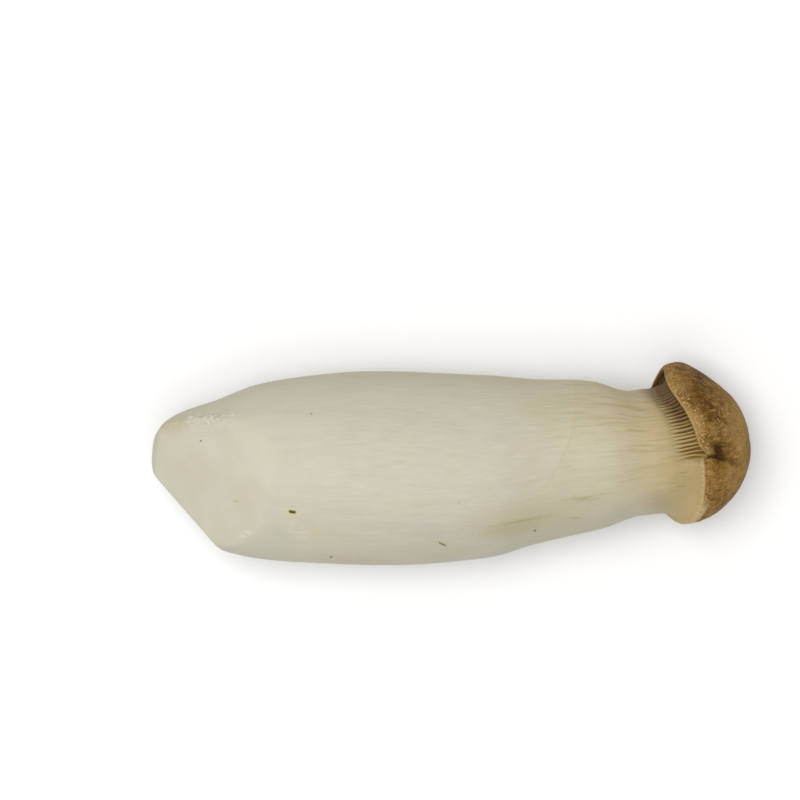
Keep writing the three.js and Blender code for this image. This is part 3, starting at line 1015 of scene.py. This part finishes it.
def fleshShader(m):
    cut, flow, rootShade = m.mask("cut"), m.mask("flow"), m.mask("rootShade")
    beads, rough = m.mask("beads"), m.mask("rough")
    grit = m.lumps(0.5, 1, 2, 0.6, seed=5)
    tone = fleshColour(m)
    facet = m.blend(m.lumps(7, 1, 3).between(0.35, 0.7), flesh["cut"], flesh["cutWarm"])
    tone = m.blend(0.8 * cut, tone, facet)
    tone = withMarks(m, tone)
    tone = m.blend(0.4 * m.mask("stain") * m.lumps(1.2, 1, 3, 0.6).between(0.2, 0.6), tone, flesh["olive"])
    tone = m.blend(0.6 * rough * grit.between(0.42, 0.6), tone, flesh["grey"])
    tone = m.blend(beads * (1 - grit.between(0.3, 0.46)), tone, flesh["shadow"])
    tone = m.blend(beads * grit.between(0.5, 0.6), tone, flesh["white"])
    dashes = m.lumps(0.7, 5, 2, 0.6, seed=14, grown=True).between(0.56, 0.7)
    spread = flow + 0.3 * (m.lumps(5, 1, 3, seed=52) - 0.5)
    tone = m.blend(spread.between(0.02, 0.7), tone, flesh["flare"])
    tone = m.blend(0.45 * dashes * flow.between(0.0, 0.3), tone, flesh["streak"])
    underNotch = flow.between(0.05, 0.4) * m.axis("Y").between(-13, -5)
    tone = m.blend(underNotch * (0.4 + 0.5 * dashes), tone, flesh["tan"])
    # Painted shade: darker down between the gills, and darkest in the hollow behind the far rim
    tone = m.blend(rootShade.between(0, 0.6), tone, gillTone["root"])
    tone = m.blend(0.9 * m.mask("recessShade"), tone, gillTone["recessShade"])
    lip = m.mask("lip").between(0.1, 0.9)
    tone = m.blend(lip * (0.25 + 0.75 * grit.between(0.4, 0.6)), tone, skinTone["dust"])
    grainy = m.mask("lip").between(0.02, 0.4)
    tone = m.blend(0.7 * grainy * m.grains(0.7, 0.35, seed=27), tone, skinTone["light"])
    tone = m.blend(0.8 * grainy * m.grains(0.6, 0.5, seed=31), tone, flesh["yellow"])

    fibre = m.lumps(0.6, 16, 4, 0.6, grown=True)
    pores = m.lumps(0.35, 2, 2)
    height = 0.06 * fibre + 0.03 * pores
    height = height * (1 - 0.7 * cut) + 0.3 * beads * grit + 0.12 * rough * grit
    inputs = {
        "Base Color": tone,
        "Roughness": 0.54 + 0.16 * fibre,
        "Normal": m.bumped(height),
        "IOR": 1.4,
        "Subsurface Weight": 0.12,
        "Subsurface Radius": (1.0, 0.7, 0.45),
        "Subsurface Scale": 1.2 * metresPerMm,
    }
    return m.shader(inputs)


def skinShader(m):
    rim, shade, pinch = m.mask("rim"), m.mask("shade"), m.mask("pinch")
    patches = m.lumps(7, 1, 4, 0.6, seed=13)
    small = m.lumps(1.7, 1, 4, 0.7)
    grain = m.lumps(0.42, 1, 3, 0.7, seed=2)
    streaks = m.lumps(0.6, 5, 3, 0.6, seed=6, grown=True)
    depth = 0.34 * patches + 0.3 * small + 0.2 * streaks + 0.16 * grain - 0.11 * shade
    brown = m.ramp(depth, [(share, skinTone[name]) for share, name in skinByDepth])
    brown = m.blend(0.35 * grain.between(0.56, 0.72), brown, skinTone["pale"])
    brown = m.blend(0.4 * (1 - grain.between(0.3, 0.44)), brown, skinTone["dark"])
    brown = m.blend(0.55 * streaks.between(0.58, 0.7), brown, skinTone["pale"])
    band = rim.between(0.05, 0.75)
    for name, at, reach, strength in capMarks:
        brown = m.blend(strength * m.spot(at, reach), brown, skinTone[name])
    brown = m.blend(0.1 * band, brown, skinTone["light"])
    granules = m.grains(0.5, 0.6) + m.grains(0.85, 0.42, seed=8)
    brown = m.blend(0.85 * band * granules.between(0, 0.6), brown, skinTone["dust"])
    brown = m.blend(0.6 * m.grains(0.6, 0.16, seed=20), brown, skinTone["dust"])
    brown = m.blend(m.mask("lip").between(0.2, 0.9) * grain.between(0.2, 0.6), brown, skinTone["lip"])
    # Painted shade in the hollow behind the far rim, and in the cleft and pit at the notch
    brown = m.blend(0.9 * m.mask("recessShade"), brown, gillTone["recessShade"])
    pinchShade = pinch + 0.25 * (small - 0.5)
    brown = m.blend(0.85 * pinchShade.between(0.02, 0.75), brown, skinTone["pit"])
    inputs = {
        "Base Color": brown,
        "Roughness": 0.7 + 0.2 * grain,
        "Normal": m.bumped(0.16 * small + 0.14 * grain + 0.15 * band * granules),
        "IOR": 1.35,
        "Specular IOR Level": 0.25,
    }
    return m.shader(inputs)


def bodyMaterial():
    m = Maker("king_oyster")
    ragged = m.mask("skin") + (0.5 + 1.4 * m.mask("plain")) * (m.lumps(1.1, 1, 4, 0.7, seed=4) - 0.5)
    layers = {0: ragged.between(0.35, 0.7), 1: fleshShader(m), 2: skinShader(m)}
    return m.finish(m.node("ShaderNodeMixShader", None, layers).outputs[0])


def gillMaterial():
    m = Maker("gill")
    rootShade, flow = m.mask("rootShade"), m.mask("flow")
    crest = m.blend(flow.between(0.1, 0.8), flesh["neck"], gillTone["crest"])
    # painted shade: darker towards each gill's root
    tone = m.blend(rootShade.between(0.05, 0.75), crest, gillTone["root"])
    fine = m.lumps(0.4, 5, 3)
    tone = m.blend(0.3 * fine.between(0.5, 0.8), tone, gillTone["root"])
    # painted shade in the hollow behind the far rim
    tone = m.blend(0.85 * m.mask("recessShade"), tone, gillTone["recessShade"])
    inputs = {
        "Base Color": tone,
        "Roughness": 0.6 + 0.15 * fine,
        "Normal": m.bumped(0.04 * fine),
        "Subsurface Weight": 0.1,
        "Subsurface Radius": (1.0, 0.6, 0.35),
        "Subsurface Scale": 0.8 * metresPerMm,
    }
    return m.finish(m.shader(inputs))


def scrapMaterial(name, tone):
    m = Maker(name)
    grit = m.lumps(0.3, 1, 3)
    mottled = m.blend(0.6 * grit.between(0.5, 0.7), tone, flesh["speck"])
    return m.finish(m.shader({"Base Color": mottled, "Roughness": 0.75, "Normal": m.bumped(0.05 * grit)}))


def floorMaterial():
    m = Maker("pale_floor")
    return m.finish(m.shader({"Base Color": (0.9, 0.9, 0.9, 1), "Roughness": 0.8}))


# Stage, light and camera
studio = {
    "cameraHeight": 700,
    "aim": (-13.92, 17.37),  # the point under the camera
    "focalPixels": 2456.0,
    "framePixels": 800,
    "sensor": 36.0,
    "floorSize": 4000,
    "sky": 0.5,
    "lampsAim": (0, 0, 24),
    "nearest": 10,  # that the camera sees
    "key": {"at": (-150, 85, 780), "size": 380, "power": 3.45},
    "fill": {"at": (40, -240, 870), "size": 500, "power": 1.8},
}


def buildStage():
    bm = bmesh.new()
    bmesh.ops.create_grid(bm, x_segments=1, y_segments=1, size=studio["floorSize"] / 2 * metresPerMm)
    data = bpy.data.meshes.new("floor")
    bm.to_mesh(data)
    bm.free()
    floor = bpy.data.objects.new("floor", data)
    data.materials.append(floorMaterial())
    bpy.context.scene.collection.objects.link(floor)


def buildLights():
    middle = Vector(studio["lampsAim"]) * metresPerMm
    for name in ("key", "fill"):
        light = studio[name]
        lamp = bpy.data.lights.new(name, "AREA")
        lamp.energy = light["power"]
        lamp.size = light["size"] * metresPerMm
        holder = bpy.data.objects.new(name, lamp)
        holder.location = Vector(light["at"]) * metresPerMm
        holder.rotation_euler = (middle - holder.location).to_track_quat("-Z", "Y").to_euler()
        bpy.context.scene.collection.objects.link(holder)
    world = bpy.data.worlds.new("studio")
    world.use_nodes = True
    world.node_tree.nodes["Background"].inputs["Color"].default_value = (1, 1, 1, 1)
    world.node_tree.nodes["Background"].inputs["Strength"].default_value = studio["sky"]
    bpy.context.scene.world = world
    bpy.context.scene.view_settings.view_transform = "Standard"


def buildCamera():
    lens = bpy.data.cameras.new("camera")
    lens.sensor_width = studio["sensor"]
    lens.lens = studio["focalPixels"] / studio["framePixels"] * studio["sensor"]
    lens.clip_start = studio["nearest"] * metresPerMm
    camera = bpy.data.objects.new("camera", lens)
    camera.location = Vector((*studio["aim"], studio["cameraHeight"])) * metresPerMm
    bpy.context.scene.collection.objects.link(camera)
    bpy.context.scene.camera = camera


buildCamera()
buildStage()
buildLights()
body = buildBody(bodyMaterial())
buildGills(gillMaterial())
buildScraps(body)
